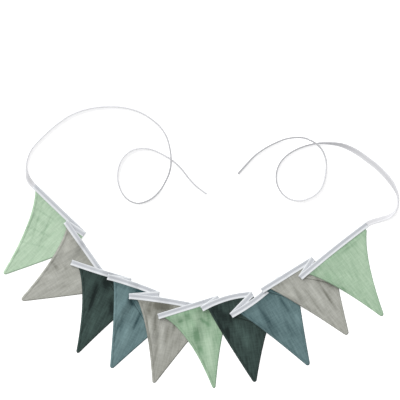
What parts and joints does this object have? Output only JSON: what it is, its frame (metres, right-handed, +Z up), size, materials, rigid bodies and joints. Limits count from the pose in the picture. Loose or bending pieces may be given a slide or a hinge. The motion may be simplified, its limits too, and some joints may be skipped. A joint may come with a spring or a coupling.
{
  "type": "fabric bunting",
  "caption": "Laid-out fabric bunting: sewn muslin pennants on a white binding tape, folded back and forth so that they overlap, with a long loose tie at each end.",
  "frame": {"origin": "on the surface that the bunting lies on, under the middle of the pennants and their binding", "axes": "+X along the row of pennants to the right, +Y away from their tips towards the ties, +Z up"},
  "size_m": [0.85, 0.6079, 0.0246],
  "materials": {
    "light_green_muslin": "crinkled double gauze",
    "grey_muslin": "crinkled double gauze",
    "dark_green_muslin": "crinkled double gauze",
    "teal_muslin": "crinkled double gauze",
    "white_tape": "plain cotton bias tape"
  },
  "bodies": {
    "root": {"pennant_01": "light_green_muslin", "pennant_02": "grey_muslin", "pennant_03": "dark_green_muslin", "pennant_04": "teal_muslin", "pennant_05": "grey_muslin", "pennant_06": "light_green_muslin", "pennant_07": "dark_green_muslin", "pennant_08": "teal_muslin", "pennant_09": "grey_muslin", "pennant_10": "light_green_muslin", "binding": "white_tape", "tie_left": "white_tape", "tie_right": "white_tape"}
  },
  "joints": []
}
